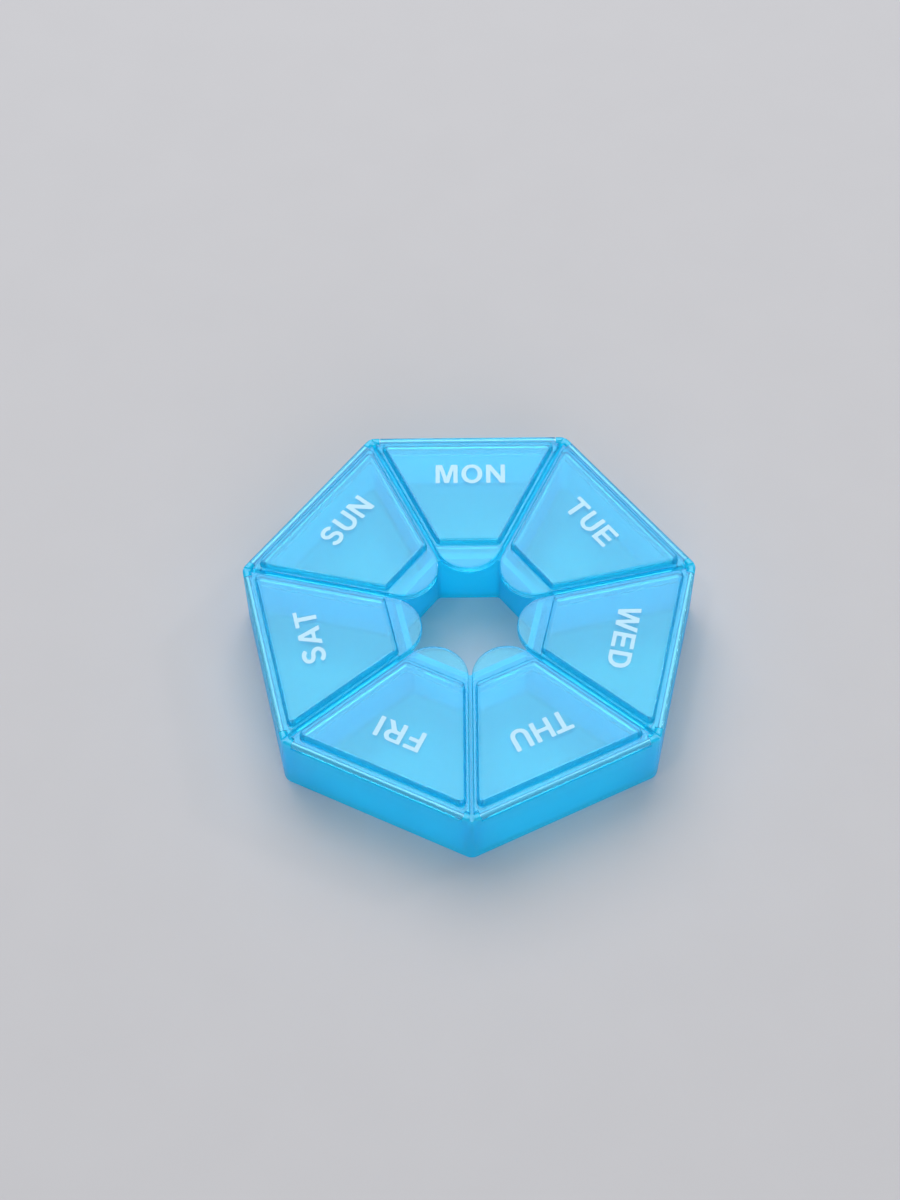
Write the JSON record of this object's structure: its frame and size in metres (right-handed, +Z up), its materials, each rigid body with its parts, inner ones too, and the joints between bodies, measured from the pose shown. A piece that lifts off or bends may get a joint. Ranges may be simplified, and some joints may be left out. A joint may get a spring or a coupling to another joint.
{
  "type": "weekly pill organizer",
  "caption": "Heptagonal ring-shaped pill case: wedge compartments around an open middle, each under a hinged lid with a raised panel and a half-round thumb tab.",
  "frame": {"origin": "on the ring's axis, in the plane of the flat underside that the case stands on", "axes": "+Z up, out through the lids; +Y outwards through the middle of the monday side; +X to the right of it, seen from above, along that side"},
  "size_m": [0.097, 0.0947, 0.0189],
  "materials": {
    "tray_plastic": "translucent blue moulded plastic, glossy",
    "lid_plastic": "translucent blue moulded plastic, glossy",
    "pin_steel": "drawn wire"
  },
  "bodies": {
    "tray": {"tray": "tray_plastic", "hinge_pin_monday": "pin_steel", "hinge_pin_tuesday": "pin_steel", "hinge_pin_wednesday": "pin_steel", "hinge_pin_thursday": "pin_steel", "hinge_pin_friday": "pin_steel", "hinge_pin_saturday": "pin_steel", "hinge_pin_sunday": "pin_steel"},
    "lid_monday": {"lid_monday": "lid_plastic"},
    "lid_tuesday": {"lid_tuesday": "lid_plastic"},
    "lid_wednesday": {"lid_wednesday": "lid_plastic"},
    "lid_thursday": {"lid_thursday": "lid_plastic"},
    "lid_friday": {"lid_friday": "lid_plastic"},
    "lid_saturday": {"lid_saturday": "lid_plastic"},
    "lid_sunday": {"lid_sunday": "lid_plastic"}
  },
  "joints": [
    {"name": "lid_monday_hinge", "type": "hinge", "parent": "tray", "child": "lid_monday", "pos_m": [0, 0.04425, 0.0167], "axis": [-1, 0, 0], "range_deg": [0, 190]},
    {"name": "lid_tuesday_hinge", "type": "hinge", "parent": "tray", "child": "lid_tuesday", "pos_m": [0.03459, 0.02759, 0.0167], "axis": [-0.6235, 0.7818, 0], "range_deg": [0, 190]},
    {"name": "lid_wednesday_hinge", "type": "hinge", "parent": "tray", "child": "lid_wednesday", "pos_m": [0.04314, -0.00985, 0.0167], "axis": [0.2225, 0.9749, 0], "range_deg": [0, 190]},
    {"name": "lid_thursday_hinge", "type": "hinge", "parent": "tray", "child": "lid_thursday", "pos_m": [0.0192, -0.03987, 0.0167], "axis": [0.901, 0.4339, 0], "range_deg": [0, 190]},
    {"name": "lid_friday_hinge", "type": "hinge", "parent": "tray", "child": "lid_friday", "pos_m": [-0.0192, -0.03987, 0.0167], "axis": [0.901, -0.4339, 0], "range_deg": [0, 190]},
    {"name": "lid_saturday_hinge", "type": "hinge", "parent": "tray", "child": "lid_saturday", "pos_m": [-0.04314, -0.00985, 0.0167], "axis": [0.2225, -0.9749, 0], "range_deg": [0, 190]},
    {"name": "lid_sunday_hinge", "type": "hinge", "parent": "tray", "child": "lid_sunday", "pos_m": [-0.03459, 0.02759, 0.0167], "axis": [-0.6235, -0.7818, 0], "range_deg": [0, 190]}
  ]
}
